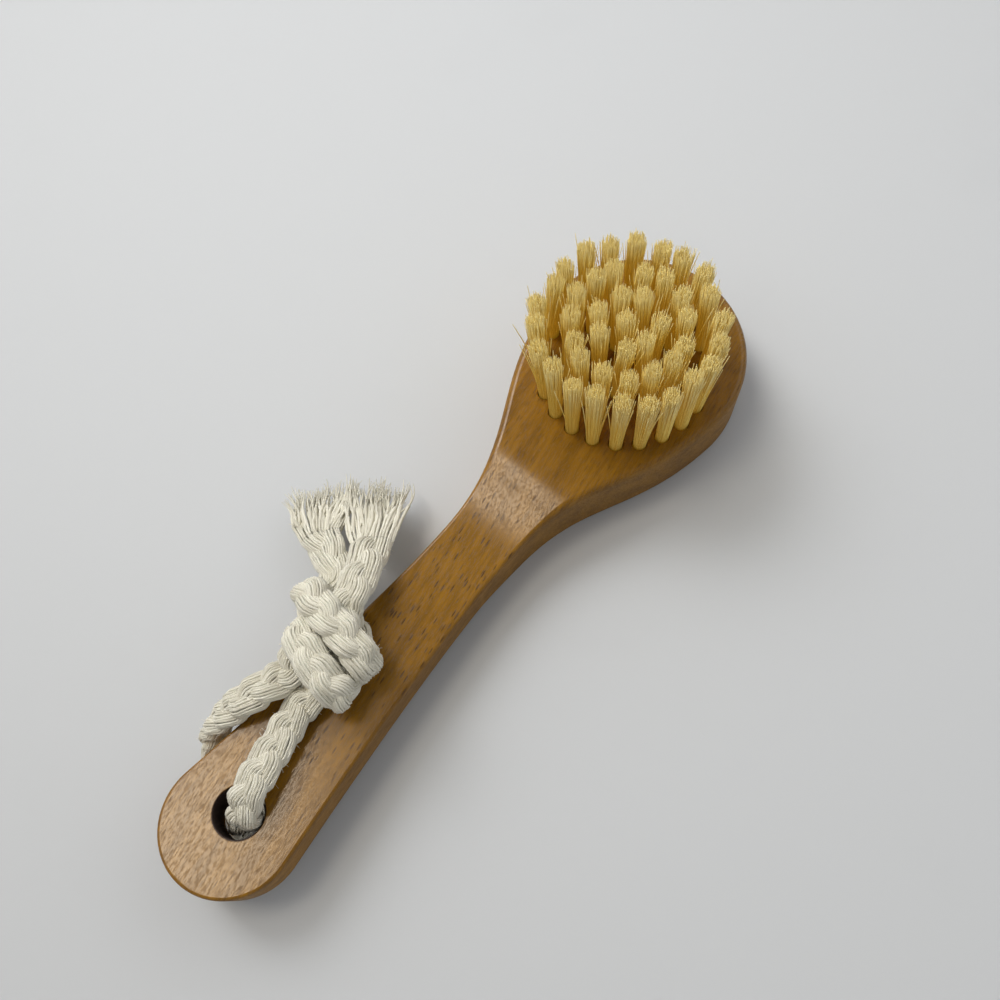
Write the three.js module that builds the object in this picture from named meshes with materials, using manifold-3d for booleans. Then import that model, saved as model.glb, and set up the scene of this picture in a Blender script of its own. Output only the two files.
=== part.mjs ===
// A facial brush: a beech handle with a round head, bristle tufts set in holes drilled in the head,
// and a plaited cotton cord that goes through the end of the handle and is knotted to itself.
// Millimetres. X runs along the handle towards the head, and the bristles point up along Z.
// The flat back of the head lies on Z = 0, and the origin is under the middle of the length.

import * as THREE from 'three';
import { mergeVertices } from 'three/addons/utils/BufferGeometryUtils.js';
import Module from 'manifold-3d';

// Wooden body, seen from above. Places along it are measured from the end of the handle.
const LENGTH = 145;
const END_RADIUS = 11.9;
const NECK_WIDTH = 13.1;
const NECK_PLACE = 75.7;
const HEAD_DIAMETER = 41;
const END_TAPER_DEGREES = 7;
const HEAD_FLARE_DEGREES = 8;
const HANDLE_SIDE_PULL = 17.6;
const HEAD_SIDE_PULL = 21.4;

// Wooden body, seen from the side
const HEAD_THICKNESS = 14;
const HANDLE_THICKNESS = 8.4;
const HANDLE_LIFT = 3;
const HANDLE_SWEEP_DEGREES = 2.6;
const BACK_RAMP_PLACE = 66.5;
const BACK_RAMP_LENGTH = 14;
const FACE_RAMP_PLACE = 75;
const FACE_RAMP_LENGTH = 17;
const HANDLE_EDGE_RADIUS = 0.8;
const HEAD_RIM_RADIUS = 1.7;

// Hanging hole
const HANGING_HOLE_DIAMETER = 8.9;
const HANGING_HOLE_PLACE = 14.5;

// Bristles: rings of tufts that fan out a little from the centre of the pattern, which is set back
// from the centre of the head towards the handle. The margin is from the outer ring to the rim.
const TUFTS_SETBACK = 5;
const TUFT_RINGS = [['centre', 1], ['inner', 7], ['middle', 15], ['outer', 22]];
const TUFT_MARGIN = 5.05;
const TUFT_FOCUS_DEPTH = 600;
const TUFT_HEIGHT = 19.3;
const TUFT_ROOT_DIAMETER = 2.5;
const TUFT_ROOT_DEPTH = 6.5;
const TUFT_SPREAD = 1.25;
const STRANDS_ROUND_TUFT = 8;
const STRAND_CIRCLE = 0.85;
const STRAND_ROOT_RADIUS = 0.36;
const STRAND_TIP_RADIUS = 0.4;
const STRAND_SIDES = 3;

// Cord: a plait that is wider than it is thick
const CORD_WIDTH = 6.6;
const CORD_THICKNESS = 4.2;
const FRAY_WIDTH = 10;
const FRAY_THICKNESS = 4.2;
const KNOT_BAND_WIDTH = 6.6;
const KNOT_BAND_ROUNDING = 1.5;
const KNOT_HEIGHT = 12.6;
const KNOT_CENTRE_Z = 19.2;

// Fits
const CLEARANCE = 0.3;

// Fineness of the facets
const OUTLINE_STEPS = { end: 9, handleSide: 10, headSide: 14, head: 13 };
const BACK_EDGE_STEPS = 2;
const FACE_EDGE_STEPS = 3;
const HANGING_HOLE_SIDES = 24;
const TUFT_HOLE_SIDES = 8;
const CORD_SIDES = 10;
const CORD_STEP = 3;
const KNOT_QUARTER_STEPS = 5;
const KNOT_EDGE_STEPS = 2;
const MERGE_DISTANCE = 1e-4;

// The loop of the cord: out of the knot, down through the hanging hole, under the handle, up round
// its edge and back to the knot. The broad faces of the plait look away from the pivot.
const LOOP_ROUTE = [
  [-35, 3.2, 15.5],
  [-38.9, 3.5, 15.5],
  [-44.2, 2.5, 15.8],
  [-49.5, 1.3, 16.8],
  [-54.3, 0.1, 17.4],
  [-57.5, -0.9, 14.5],
  [-58.3, -0.8, 9.2],
  [-58.3, 0.1, 4.6],
  [-57.9, 4.3, 2.55],
  [-56, 9.2, 2.57],
  [-53.5, 13.7, 3.08],
  [-51.2, 15.3, 6.2],
  [-48.9, 14.4, 10.8],
  [-44.8, 12.1, 15.6],
  [-40, 10.3, 17],
  [-35.6, 8.8, 16.8],
];
const LOOP_PIVOT = [-54, 3, 10];

// The two tails, from the knot to where their ends begin to fray
const LEFT_TAIL_ROUTE = [
  [-20.2, 13.4, 14.5],
  [-18.6, 13.8, 14.4],
  [-16.3, 16.6, 13],
  [-14.6, 20.5, 10.4],
  [-13.1, 24.3, 8],
];
const RIGHT_TAIL_ROUTE = [
  [-20, 8.4, 20.4],
  [-18.3, 8.7, 20.3],
  [-15.4, 9.9, 19],
  [-12, 12, 16.2],
  [-8.6, 14.5, 12.2],
];
const LEFT_FRAY_TIP = [-5.6, 33, 3.6];
const RIGHT_FRAY_TIP = [2.4, 23.5, 4.6];
const TAIL_PIVOT = [-14, 16, -400];

// The two bands that wrap the knot: place along X, middle across Y, and half reach across Y
const KNOT_BANDS = [
  { x: -24.4, y: 7.5, reach: 11.3 },
  { x: -31, y: 5.2, reach: 9.5 },
];

const wasm = await Module();
wasm.setup();

const beech = new THREE.MeshStandardMaterial({ color: 0xb0783f, roughness: 0.4, metalness: 0 });
const bristle = new THREE.MeshStandardMaterial({ color: 0xe2c98c, roughness: 0.6, metalness: 0 });
const cotton = new THREE.MeshStandardMaterial({ color: 0xe4dfd3, roughness: 0.95, metalness: 0 });

const { clamp, degToRad, lerp, smoothstep } = THREE.MathUtils;
const fromEnd = (place) => place - LENGTH / 2;
const HEAD_RADIUS = HEAD_DIAMETER / 2;
const HEAD_CENTRE = fromEnd(LENGTH - HEAD_RADIUS);

function toSolid(geometry) {
  const bare = geometry.clone();
  bare.deleteAttribute('normal');
  bare.deleteAttribute('uv');
  const merged = mergeVertices(bare, MERGE_DISTANCE);
  return new wasm.Manifold(new wasm.Mesh({
    numProp: 3,
    vertProperties: new Float32Array(merged.attributes.position.array),
    triVerts: new Uint32Array(merged.index.array),
  }));
}

function toGeometry(solid) {
  const mesh = solid.getMesh();
  const geometry = new THREE.BufferGeometry();
  geometry.setAttribute('position', new THREE.BufferAttribute(mesh.vertProperties, mesh.numProp));
  geometry.setIndex(new THREE.BufferAttribute(mesh.triVerts, 1));
  geometry.computeVertexNormals();
  return geometry;
}

function upright(radiusTop, radiusBottom, height, sides) {
  const column = new THREE.CylinderGeometry(radiusTop, radiusBottom, height, sides);
  return column.rotateX(Math.PI / 2);
}

// Side view of the wood: the heights of its back and of its face at a place along X

function handleRise(x) {
  const start = fromEnd(BACK_RAMP_PLACE);
  return Math.max(0, start - x) * Math.tan(degToRad(HANDLE_SWEEP_DEGREES));
}

function backHeight(x) {
  const start = fromEnd(BACK_RAMP_PLACE);
  const lifted = 1 - smoothstep(x, start, start + BACK_RAMP_LENGTH);
  return HANDLE_LIFT * lifted + handleRise(x);
}

// The face is scooped where it climbs to the head: level at first, then steeper up to a crease
function headShare(x) {
  const start = fromEnd(FACE_RAMP_PLACE);
  return clamp((x - start) / FACE_RAMP_LENGTH, 0, 1) ** 2;
}

function faceHeight(x) {
  const handleFace = HANDLE_LIFT + HANDLE_THICKNESS + handleRise(x);
  return lerp(handleFace, HEAD_THICKNESS, headShare(x));
}

function edgeRadius(x) {
  return lerp(HANDLE_EDGE_RADIUS, HEAD_RIM_RADIUS, headShare(x));
}

// Half of the outline from above, from the tip of the handle to the tip of the head
function outlineStations() {
  const endCentre = fromEnd(END_RADIUS);
  const taper = degToRad(END_TAPER_DEGREES);
  const flare = degToRad(HEAD_FLARE_DEGREES);
  const neck = new THREE.Vector2(fromEnd(NECK_PLACE), NECK_WIDTH / 2);
  const endTangent = new THREE.Vector2(Math.cos(taper), -Math.sin(taper));
  const headTangent = new THREE.Vector2(Math.cos(flare), Math.sin(flare));
  const onCircle = (centre, radius, angle) => new THREE.Vector2(
    centre + radius * Math.sin(angle), radius * Math.cos(angle));
  const endPoint = onCircle(endCentre, END_RADIUS, taper);
  const headPoint = onCircle(HEAD_CENTRE, HEAD_RADIUS, -flare);
  const along = new THREE.Vector2(1, 0);
  const pulled = (point, direction, pull) => point.clone().addScaledVector(direction, pull);
  const quarter = Math.PI / 2;
  const pieces = [
    [new THREE.EllipseCurve(endCentre, 0, END_RADIUS, END_RADIUS, Math.PI, quarter - taper, true),
      OUTLINE_STEPS.end],
    [new THREE.CubicBezierCurve(endPoint, pulled(endPoint, endTangent, HANDLE_SIDE_PULL),
      pulled(neck, along, -HANDLE_SIDE_PULL), neck), OUTLINE_STEPS.handleSide],
    [new THREE.CubicBezierCurve(neck, pulled(neck, along, HEAD_SIDE_PULL),
      pulled(headPoint, headTangent, -HEAD_SIDE_PULL), headPoint), OUTLINE_STEPS.headSide],
    [new THREE.EllipseCurve(HEAD_CENTRE, 0, HEAD_RADIUS, HEAD_RADIUS, quarter + flare, 0, true),
      OUTLINE_STEPS.head],
  ];
  const stations = [];
  for (const [curve, steps] of pieces) {
    const last = curve === pieces.at(-1)[0] ? steps : steps - 1;
    for (let i = 0; i <= last; i += 1) {
      const point = curve.getPoint(i / steps);
      const tangent = curve.getTangent(i / steps);
      stations.push({ point, outward: new THREE.Vector2(-tangent.y, tangent.x) });
    }
  }
  return stations;
}

// The edge roundings as levels: how far in, and how far from the back or the face, in edge radii
function edgeLevels() {
  const levels = [];
  for (let i = BACK_EDGE_STEPS; i >= 0; i -= 1) {
    const turn = (i / BACK_EDGE_STEPS) * Math.PI / 2;
    levels.push({ inset: 1 - Math.cos(turn), rise: 1 - Math.sin(turn), surface: backHeight, sign: 1 });
  }
  for (let i = 0; i <= FACE_EDGE_STEPS; i += 1) {
    const turn = (i / FACE_EDGE_STEPS) * Math.PI / 2;
    levels.push({ inset: 1 - Math.cos(turn), rise: 1 - Math.sin(turn), surface: faceHeight, sign: -1 });
  }
  return levels;
}

function bodyBlank() {
  const stations = outlineStations();
  const tip = stations.length - 1;
  const around = 2 * tip;
  const levels = edgeLevels();
  const positions = [];
  for (const level of levels) {
    for (let j = 0; j < around; j += 1) {
      const side = j <= tip ? 1 : -1;
      const { point, outward } = stations[j <= tip ? j : around - j];
      const radius = edgeRadius(point.x);
      const x = point.x - outward.x * level.inset * radius;
      const y = j % tip === 0 ? 0 : side * (point.y - outward.y * level.inset * radius);
      positions.push(x, y, level.surface(x) + level.sign * level.rise * radius);
    }
  }
  const triangles = [];
  const vertex = (level, j) => level * around + (j % around);
  for (let level = 0; level < levels.length - 1; level += 1) {
    for (let j = 0; j < around; j += 1) {
      triangles.push(vertex(level, j), vertex(level + 1, j), vertex(level, j + 1));
      triangles.push(vertex(level, j + 1), vertex(level + 1, j), vertex(level + 1, j + 1));
    }
  }
  const back = (j) => vertex(0, j);
  const face = (j) => vertex(levels.length - 1, j);
  for (let i = 0; i < tip; i += 1) {
    if (i > 0) {
      triangles.push(face(i), face(around - i), face(around - i - 1));
      triangles.push(back(i), back(around - i - 1), back(around - i));
    }
    if (i < tip - 1) {
      triangles.push(face(i), face(around - i - 1), face(i + 1));
      triangles.push(back(i), back(i + 1), back(around - i - 1));
    }
  }
  const geometry = new THREE.BufferGeometry();
  geometry.setAttribute('position', new THREE.Float32BufferAttribute(positions, 3));
  geometry.setIndex(triangles);
  return geometry;
}

// Where each tuft stands on the face of the head, and which way it points
function tuftPlaces() {
  const places = [];
  const middle = HEAD_CENTRE - TUFTS_SETBACK;
  const pitch = (HEAD_RADIUS - TUFT_MARGIN) / (TUFT_RINGS.length - 1);
  const focus = new THREE.Vector3(middle, 0, HEAD_THICKNESS - TUFT_FOCUS_DEPTH);
  TUFT_RINGS.forEach(([ring, count], index) => {
    for (let k = 0; k < count; k += 1) {
      const angle = (2 * Math.PI * k) / count;
      const radius = index * pitch;
      const mouth = new THREE.Vector3(
        middle + radius * Math.cos(angle), radius * Math.sin(angle), HEAD_THICKNESS);
      const direction = mouth.clone().sub(focus).normalize();
      const name = count === 1 ? `tuft_${ring}` : `tuft_${ring}_${k + 1}`;
      places.push({ name, mouth, direction, spin: angle });
    }
  });
  return places;
}

const UP = new THREE.Vector3(0, 0, 1);

function woodenBody(places) {
  let body = toSolid(bodyBlank());
  const reach = HEAD_THICKNESS + HANDLE_THICKNESS;
  const hangingRadius = HANGING_HOLE_DIAMETER / 2;
  const hangingHole = upright(hangingRadius, hangingRadius, 2 * reach, HANGING_HOLE_SIDES);
  hangingHole.translate(fromEnd(HANGING_HOLE_PLACE), 0, HEAD_THICKNESS / 2);
  body = body.subtract(toSolid(hangingHole));
  const holeRadius = TUFT_ROOT_DIAMETER / 2 + CLEARANCE;
  const holeDepth = TUFT_ROOT_DEPTH + CLEARANCE;
  for (const { mouth, direction } of places) {
    const hole = upright(holeRadius, holeRadius, 2 * holeDepth, TUFT_HOLE_SIDES);
    hole.applyQuaternion(new THREE.Quaternion().setFromUnitVectors(UP, direction));
    hole.translate(mouth.x, mouth.y, mouth.z);
    body = body.subtract(toSolid(hole));
  }
  return toGeometry(body);
}

// One tuft about its own axis, with the mouth of its hole at height 0: the folded root with its
// anchor inside the hole, and strands that spread towards their cut tips
function tuftGeometry() {
  const rootRadius = TUFT_ROOT_DIAMETER / 2;
  const root = upright(rootRadius, rootRadius, TUFT_ROOT_DEPTH, TUFT_HOLE_SIDES);
  root.translate(0, 0, -TUFT_ROOT_DEPTH / 2);
  let tuft = toSolid(root);
  const length = TUFT_HEIGHT + CLEARANCE;
  const lean = Math.atan((TUFT_SPREAD - STRAND_CIRCLE) / TUFT_HEIGHT);
  for (let k = 0; k <= STRANDS_ROUND_TUFT; k += 1) {
    const strand = upright(STRAND_TIP_RADIUS, STRAND_ROOT_RADIUS, length, STRAND_SIDES);
    strand.translate(0, 0, length / 2 - CLEARANCE);
    if (k < STRANDS_ROUND_TUFT) {
      strand.rotateY(lean);
      strand.translate(STRAND_CIRCLE, 0, 0);
      strand.rotateZ((2 * Math.PI * k) / STRANDS_ROUND_TUFT);
    }
    tuft = tuft.add(toSolid(strand));
  }
  return toGeometry(tuft);
}

// A smooth route whose frames turn the broad face of the plait away from a pivot
class CordRoute extends THREE.CatmullRomCurve3 {
  constructor(points, pivot) {
    super(points.map((point) => new THREE.Vector3(...point)), false, 'centripetal');
    this.pivot = new THREE.Vector3(...pivot);
  }

  computeFrenetFrames(steps) {
    const frames = { tangents: [], normals: [], binormals: [] };
    for (let i = 0; i <= steps; i += 1) {
      const tangent = this.getTangentAt(i / steps);
      const normal = this.getPointAt(i / steps).sub(this.pivot);
      normal.addScaledVector(tangent, -normal.dot(tangent)).normalize();
      frames.tangents.push(tangent);
      frames.normals.push(normal);
      frames.binormals.push(new THREE.Vector3().crossVectors(tangent, normal));
    }
    return frames;
  }
}

function cordSection() {
  const section = new THREE.Shape();
  for (let k = 0; k < CORD_SIDES; k += 1) {
    const angle = (2 * Math.PI * k) / CORD_SIDES;
    const x = (CORD_THICKNESS / 2) * Math.cos(angle);
    const y = (CORD_WIDTH / 2) * Math.sin(angle);
    if (k === 0) {
      section.moveTo(x, y);
    } else {
      section.lineTo(x, y);
    }
  }
  section.closePath();
  return section;
}

function cordTube(route) {
  const steps = Math.round(route.getLength() / CORD_STEP);
  return new THREE.ExtrudeGeometry(cordSection(), { steps, extrudePath: route });
}

// A tail: its plaited stretch, and the flattened cone of loose yarn at its end
function cordTail(points, frayTip) {
  const route = new CordRoute(points, TAIL_PIVOT);
  const start = route.getPointAt(1);
  const direction = new THREE.Vector3(...frayTip).sub(start);
  const length = direction.length();
  direction.normalize();
  const across = new THREE.Vector3().crossVectors(UP, direction).normalize();
  const fray = upright(FRAY_WIDTH / 2, CORD_WIDTH / 2 - CLEARANCE, length, CORD_SIDES);
  fray.scale(1, FRAY_THICKNESS / FRAY_WIDTH, 1);
  fray.translate(0, 0, length / 2 - CLEARANCE);
  const frame = new THREE.Matrix4().makeBasis(
    across, new THREE.Vector3().crossVectors(direction, across), direction);
  fray.applyMatrix4(frame.setPosition(start));
  return toGeometry(toSolid(cordTube(route)).add(toSolid(fray)));
}

function cordKnot() {
  let knot = null;
  const core = KNOT_BAND_WIDTH - 2 * KNOT_BAND_ROUNDING + CLEARANCE;
  for (const { x, y, reach } of KNOT_BANDS) {
    const outline = new THREE.Shape();
    outline.absellipse(y, KNOT_CENTRE_Z, reach - KNOT_BAND_ROUNDING, KNOT_HEIGHT / 2 - KNOT_BAND_ROUNDING,
      0, 2 * Math.PI);
    const band = new THREE.ExtrudeGeometry(outline, {
      depth: core, curveSegments: 2 * KNOT_QUARTER_STEPS, bevelEnabled: true, bevelSegments: KNOT_EDGE_STEPS,
      bevelSize: KNOT_BAND_ROUNDING, bevelThickness: KNOT_BAND_ROUNDING,
    });
    band.applyMatrix4(new THREE.Matrix4().makeBasis(
      new THREE.Vector3(0, 1, 0), new THREE.Vector3(0, 0, 1), new THREE.Vector3(1, 0, 0)));
    band.translate(x - core / 2, 0, 0);
    knot = knot ? knot.add(toSolid(band)) : toSolid(band);
  }
  return toGeometry(knot);
}

function addPiece(group, name, geometry, material) {
  const mesh = new THREE.Mesh(geometry, material);
  mesh.name = name;
  group.add(mesh);
  return mesh;
}

const brush = new THREE.Group();
const places = tuftPlaces();
addPiece(brush, 'wooden_body', woodenBody(places), beech);

const tufts = new THREE.Group();
const tuft = tuftGeometry();
for (const { name, mouth, direction, spin } of places) {
  const mesh = addPiece(tufts, name, tuft, bristle);
  mesh.position.copy(mouth);
  mesh.quaternion.setFromUnitVectors(UP, direction);
  mesh.rotateZ(spin);
}
brush.add(tufts);

const cord = new THREE.Group();
addPiece(cord, 'cord_loop', cordTube(new CordRoute(LOOP_ROUTE, LOOP_PIVOT)), cotton);
addPiece(cord, 'cord_knot', cordKnot(), cotton);
addPiece(cord, 'cord_tail_left', cordTail(LEFT_TAIL_ROUTE, LEFT_FRAY_TIP), cotton);
addPiece(cord, 'cord_tail_right', cordTail(RIGHT_TAIL_ROUTE, RIGHT_FRAY_TIP), cotton);
brush.add(cord);

export default brush;
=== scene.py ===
"""A facial brush: a beech handle with a round head, bristle tufts and a knotted cotton cord.

The file is laid out as an add-on. The sizes and colours are properties of the scene, each piece or
group of like pieces has its own operator, and a panel in the sidebar lists them. Lengths are in
metres. X runs along the handle towards the head, and the bristles point up along Z.
"""

import math
from random import Random

import bpy
import numpy as np
from bpy.props import FloatProperty, FloatVectorProperty, IntProperty, PointerProperty
from mathutils import Matrix, Vector


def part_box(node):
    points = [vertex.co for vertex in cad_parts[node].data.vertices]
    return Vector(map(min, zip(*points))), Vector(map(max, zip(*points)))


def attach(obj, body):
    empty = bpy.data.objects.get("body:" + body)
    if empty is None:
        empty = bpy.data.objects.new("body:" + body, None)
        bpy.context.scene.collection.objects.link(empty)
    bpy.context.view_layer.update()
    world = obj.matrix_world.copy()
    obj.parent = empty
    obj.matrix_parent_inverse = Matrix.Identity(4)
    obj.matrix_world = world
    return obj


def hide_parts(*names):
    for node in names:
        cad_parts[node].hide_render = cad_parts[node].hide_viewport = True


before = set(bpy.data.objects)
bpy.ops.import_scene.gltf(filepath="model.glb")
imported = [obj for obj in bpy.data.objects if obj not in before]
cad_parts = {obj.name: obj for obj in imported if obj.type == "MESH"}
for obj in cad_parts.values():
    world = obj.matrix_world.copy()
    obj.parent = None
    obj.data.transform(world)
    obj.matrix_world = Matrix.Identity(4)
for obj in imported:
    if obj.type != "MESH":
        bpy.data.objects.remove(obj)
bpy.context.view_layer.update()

bl_info = {
    "name": "Facial Brush",
    "version": (1, 0, 0),
    "blender": (4, 5, 0),
    "location": "3D View > Sidebar > Facial Brush",
    "description": "Builds a beech facial brush with bristle tufts and a knotted cotton cord",
    "category": "Add Mesh",
}

MM = 0.001
BODY_NODE = "wooden_body"
LOOP_NODES = ("cord_loop", "cord_knot")
TAIL_NODES = {"left": "cord_tail_left", "right": "cord_tail_right"}
UP = (0, 0, 1)
ACROSS = (0, 1, 0)
ALONG = (1, 0, 0)

# The cord's route in millimetres, from the end of the right tail to the end of the left one. Each
# stretch also says which way the broad face of the plait looks at its first point.
CORD_ROUTE = (
    # Right tail
    (UP, ((-8.6, 14.5, 12.2), (-12, 12, 16.2), (-15.4, 9.9, 19), (-18.3, 8.7, 20.3), (-20, 8.4, 20.4))),
    # Through the middle of the knot, and round its lower band
    (UP, ((-24, 6.2, 19.3), (-27.8, 2.6, 17.9), (-30.9, -0.4, 17.2), (-32.1, -1.8, 19))),
    (UP, ((-32.5, -1, 21.3), (-32.2, 2, 22.9), (-31, 6.6, 22.9))),
    (UP, ((-29.5, 10.3, 21.7), (-28.7, 11.8, 18.9))),
    (ACROSS, ((-29, 10.6, 16.2), (-30.4, 7.4, 14.9), (-32.6, 5, 15))),
    # Strand of the loop that goes down into the hanging hole
    ((0, 0.3, 0.95), ((-35, 3.2, 15.5), (-38.9, 3.5, 15.5), (-44.2, 2.5, 15.8))),
    (UP, ((-49.5, 1.3, 16.8), (-54.3, 0.1, 17.4))),
    (ALONG, ((-57.5, -0.9, 14.5),)),
    ((0.6, 0.8, 0), ((-58.3, -0.8, 9.2),)),
    ((0, 0.7, 0.7), ((-58.3, 0.1, 4.6),)),
    # Under the handle, round its edge and back up
    (UP, ((-57.9, 4.3, 2.55), (-56, 9.2, 2.57), (-53.5, 13.7, 3.08))),
    (ACROSS, ((-51.2, 15.3, 6.2), (-48.9, 14.4, 10.8))),
    ((0.1, 0.2, 0.97), ((-44.8, 12.1, 15.6), (-40, 10.3, 17), (-35.6, 8.8, 16.8), (-31.6, 9.4, 18.4))),
    # Through the middle of the knot, and round its upper band
    (UP, ((-27.2, 10.6, 18.8), (-24.2, 12.6, 17), (-22.9, 14.2, 16.6), (-22.7, 15.4, 18.8))),
    (UP, ((-23, 14.2, 21.2), (-24, 10, 22.9), (-24.8, 4.2, 23), (-25.6, 0, 21.8), (-26.3, -1.7, 19.2))),
    (ACROSS, ((-26.2, -1, 16.6), (-24.9, 1.8, 14.9), (-22.6, 7, 14.7))),
    # Left tail
    (UP, ((-20.2, 13.4, 14.5), (-18.6, 13.8, 14.4), (-16.3, 16.6, 13))),
    (UP, ((-14.6, 20.5, 10.4), (-13.1, 24.3, 8))),
)
# The point of the route where the plait is pressed flat, on its way under the handle
LOW_BEND = (-58.3, 0.1, 4.6)
# The tips of the two frayed ends in millimetres, and their widths as shares of the fray width
FRAY_TIPS = {"left": (-5.6, 33, 3.6), "right": (2.4, 23.5, 4.6)}
FRAY_SHARES = {"left": 1.08, "right": 0.86}
# The plait's last ring at each frayed end with the ring before it, and the side that faces the other end
FRAY_RINGS = {"left": (-1, -2), "right": (0, 1)}
FRAY_NOOKS = {"left": -1, "right": 1}

# Rings of tufts from the middle outwards, and the number of tufts in each
TUFT_RINGS = (("centre", 1), ("inner", 7), ("middle", 15), ("outer", 22))
# A bristle's rings above the face, as shares of its height there, and its radius at its root and at
# each of them, as shares of the bristle radius
BRISTLE_RINGS = (0, 0.35, 0.7, 1)
BRISTLE_TAPER = (1, 1, 1, 0.92, 0.6)

# How finely the curves of the meshes are divided
OUTLINE_STEPS = {"end": 28, "handle_side": 44, "head_side": 56, "head": 56}
CREASE_STEPS = 8
EDGE_STEPS = 8
LIP_STEPS = 6
HANGING_HOLE_SIDES = 72
TUFT_HOLE_SIDES = 24
BRISTLE_SIDES = 3
YARN_SIDES = 4
STRAND_CORE_SIDES = 6
FIBRE_SIDES = 3
FRAYED_YARN_SIDES = 5
PLY_SIDES = 4
PLIES = 3

SEEDS = {"tufts": 3, "tones": 5, "plait": 7, "fibres": 9, "left": 11, "right": 12}


# Properties


def length(name, text, size_mm):
    return FloatProperty(name=name, description=text, default=size_mm * MM, unit="LENGTH", precision=5)


def angle(name, text, degrees):
    return FloatProperty(name=name, description=text, default=math.radians(degrees), subtype="ANGLE")


def count(name, text, value):
    return IntProperty(name=name, description=text, default=value, min=1)


def colour(name, text, value):
    return FloatVectorProperty(
        name=name, description=text, default=value, subtype="COLOR", size=3, min=0, max=1)


def amount(name, text, value):
    return FloatProperty(name=name, description=text, default=value, min=0)


def place(name, text, value_mm):
    default = [axis * MM for axis in value_mm]
    return FloatVectorProperty(name=name, description=text, default=default, subtype="TRANSLATION", size=3)


class WoodSizes(bpy.types.PropertyGroup):
    """Sizes of the wooden body. Places along it are measured from the end of the handle"""

    end_radius: length("End radius", "Radius of the round end of the handle", 11.9)
    end_taper: angle("End taper", "Slope of the handle's sides where the round end stops", 7)
    handle_pull: length("Handle curve", "Reach of the curve between the end and the neck", 17.6)
    neck_width: length("Neck width", "Width at the narrowest place", 13.1)
    neck_place: length("Neck place", "Where the handle is narrowest", 75.7)
    head_pull: length("Head curve", "Reach of the curve between the neck and the head", 21.4)
    head_flare: angle("Head flare", "Slope of the sides where the round head begins", 8)
    head_thickness: length("Head thickness", "Thickness of the head", 14)
    head_rim: length("Head rim", "Rounding of the head's edges", 1.4)
    handle_thickness: length("Handle thickness", "Thickness of the handle", 8.4)
    handle_edge: length("Handle edge", "Rounding of the handle's edges", 0.6)
    handle_lift: length("Handle lift", "Height of the handle's back above the head's back", 3)
    handle_sweep: angle("Handle sweep", "Slope of the handle, up towards its end", 2.6)
    back_ramp_place: length("Back ramp place", "Where the ramp under the neck begins", 66.5)
    back_ramp_length: length("Back ramp length", "Length of the ramp under the neck", 14)
    face_ramp_place: length("Face ramp place", "Where the scoop up to the head's face begins", 75)
    face_ramp_length: length("Face ramp length", "Length of the scoop, up to its crease", 17)
    crease_blend: length("Crease blend", "Reach of the rounding on each side of the scoop's crease", 2.6)
    grain_turn: angle("Grain turn", "Angle between the grain and the handle", 8)
    hole_diameter: length("Hole diameter", "Diameter of the hanging hole", 8.9)
    hole_place: length("Hole place", "Where the hanging hole is", 14.5)
    hole_easing: length("Hole easing", "Rounding of the hanging hole's edges", 0.25)


class TuftSizes(bpy.types.PropertyGroup):
    """Sizes of the bristle tufts"""

    setback: length("Setback", "From the head's centre back to the centre of the pattern", 5)
    margin: length("Margin", "From the outer ring of tufts to the rim of the head", 5.05)
    focus_depth: length("Focus depth", "How far below the face the tufts' axes meet", 600)
    hole_radius: length("Hole radius", "Radius of the holes that the tufts stand in", 1.42)
    hole_depth: length("Hole depth", "Depth of the holes that the tufts stand in", 6.8)
    hole_easing: length("Hole easing", "Chamfer at the mouth of each hole", 0.1)
    height: length("Height", "From the face to the cut tips", 19.3)
    root_radius: length("Root radius", "Radius of a tuft at the face", 1.18)
    tip_radius: length("Tip radius", "Radius of a tuft at its tips", 1.6)
    bristle_radius: length("Bristle radius", "Radius of one bristle near its root", 0.11)
    bristles: count("Bristles", "Number of bristles in each tuft", 190)


class CordSizes(bpy.types.PropertyGroup):
    """Sizes of the plaited cord"""

    width: length("Width", "Width of the plait", 6.6)
    thickness: length("Thickness", "Thickness of the plait", 4.2)
    lay: length("Lay", "Length in which a strand crosses the plait and comes back", 13.8)
    strand_width: length("Strand width", "Width of one of the three strands", 4.3)
    strand_thickness: length("Strand thickness", "Thickness of one of the three strands", 3.1)
    yarns: count("Yarns", "Number of yarns round each strand", 24)
    yarn_radius: length("Yarn radius", "Radius of one yarn", 0.25)
    step: length("Step", "Distance between the rings of a yarn's surface", 0.8)
    fray_width: length("Fray width", "Width of the frayed ends at their tips", 10.6)
    fibres: count("Fibres", "Number of short loose fibres on the plait", 800)
    fibre_radius: length("Fibre radius", "Radius of one loose fibre", 0.03)


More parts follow.
